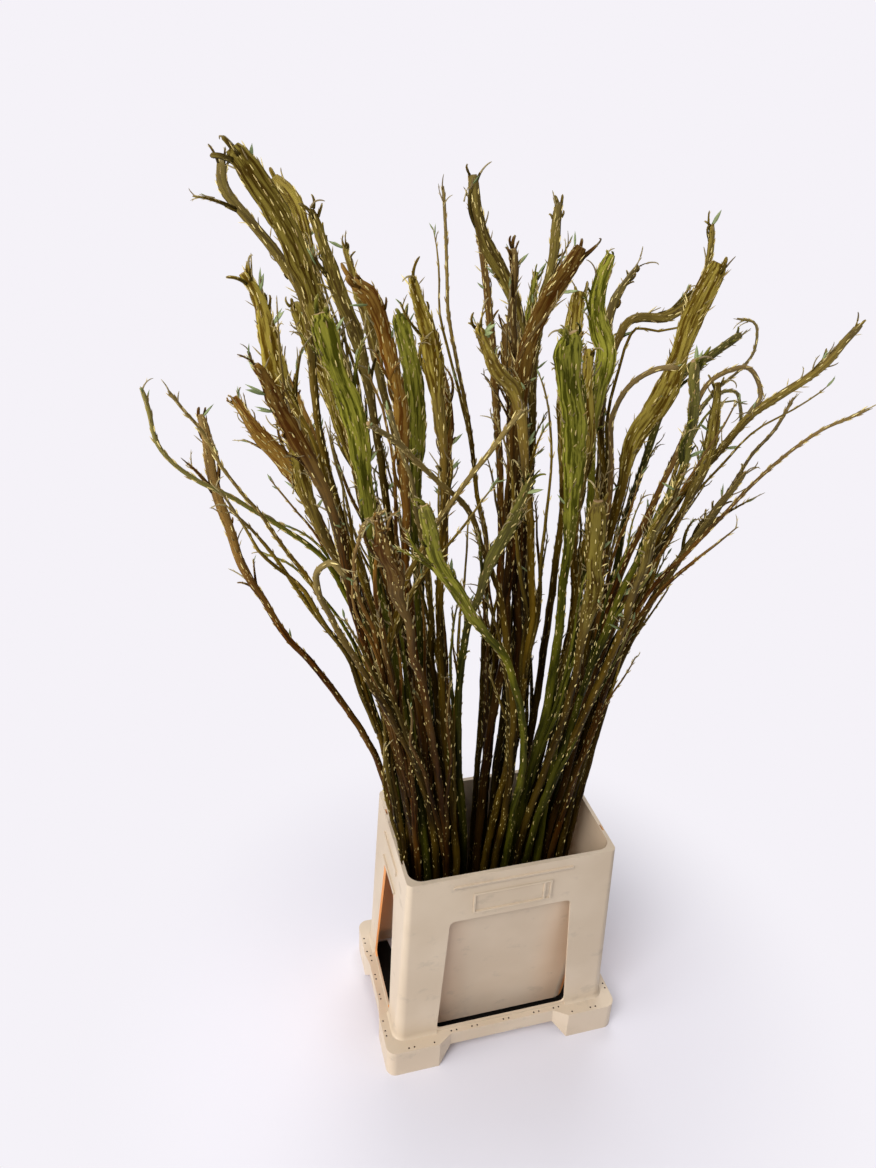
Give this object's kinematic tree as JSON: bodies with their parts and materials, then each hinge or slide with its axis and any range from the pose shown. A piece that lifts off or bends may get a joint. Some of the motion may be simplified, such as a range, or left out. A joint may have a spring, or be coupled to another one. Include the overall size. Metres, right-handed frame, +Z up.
{
  "type": "willow stems in a flower container",
  "caption": "Cut fantail willow stems with flattened, crested and curled tips, standing in two loose bunches in a tapered plastic flower container with windows and feet.",
  "frame": {"origin": "on the ground, under the middle of the container, which is the middle of the whole object's footprint", "axes": "+X along the container's long side, to the right seen from the front; +Y to the back; +Z up"},
  "size_m": [0.7913, 0.4736, 1.1765],
  "materials": {
    "bark_olive": "satin olive bark with pale flecks",
    "bark_brown": "satin red-brown bark with pale flecks",
    "bark_green": "satin yellow-green bark with pale flecks",
    "container_plastic": "satin cream injection moulding, lightly scuffed"
  },
  "bodies": {
    "root": {"container": "container_plastic", "stem_left_back_head": "bark_brown", "stem_left_back_left_strap": "bark_olive", "stem_left_back_tall": "bark_olive", "stem_left_bent_tip": "bark_olive", "stem_left_broad_strap": "bark_olive", "stem_left_brown_bow": "bark_brown", "stem_left_brown_crest": "bark_brown", "stem_left_crossing_right": "bark_olive", "stem_left_curly_tip": "bark_olive", "stem_left_dark_arch": "bark_brown", "stem_left_far_twig": "bark_green", "stem_left_front_hook": "bark_olive", "stem_left_front_low": "bark_brown", "stem_left_green_strap": "bark_green", "stem_left_inner_dark": "bark_brown", "stem_left_inner_green": "bark_green", "stem_left_low_crest": "bark_brown", "stem_left_middle_brown": "bark_brown", "stem_left_middle_twig": "bark_olive", "stem_left_red_twig": "bark_brown", "stem_left_side_head": "bark_olive", "stem_left_thin_whip": "bark_olive", "stem_left_top_fork": "bark_olive", "stem_left_top_strap": "bark_olive", "stem_left_wavy_strap": "bark_olive", "stem_left_yellow_strap": "bark_green", "stem_right_back_middle": "bark_green", "stem_right_back_right_strap": "bark_olive", "stem_right_brown_arch": "bark_brown", "stem_right_curl_tip": "bark_olive", "stem_right_cut_strap": "bark_olive", "stem_right_dark_strap": "bark_brown", "stem_right_far_bud": "bark_olive", "stem_right_front_fork": "bark_olive", "stem_right_front_middle": "bark_olive", "stem_right_front_right": "bark_olive", "stem_right_front_slab": "bark_green", "stem_right_great_strap": "bark_olive", "stem_right_green_arch": "bark_green", "stem_right_hooked_arch": "bark_brown", "stem_right_inner_right": "bark_olive", "stem_right_long_crossing": "bark_olive", "stem_right_low_red": "bark_brown", "stem_right_middle_brown": "bark_brown", "stem_right_orange_strap": "bark_brown", "stem_right_outer_right": "bark_olive", "stem_right_pale_strap": "bark_green", "stem_right_side_lean": "bark_olive", "stem_right_swan_neck": "bark_olive", "stem_right_tall_brown": "bark_brown", "stem_right_tall_strap": "bark_olive", "stem_right_thin_dark": "bark_brown", "stem_right_twiggy_head": "bark_olive", "stem_right_whip": "bark_olive", "stem_right_wide_head": "bark_green", "stem_right_yellow_crossing": "bark_green", "stem_right_yellow_fork": "bark_green"}
  },
  "joints": []
}
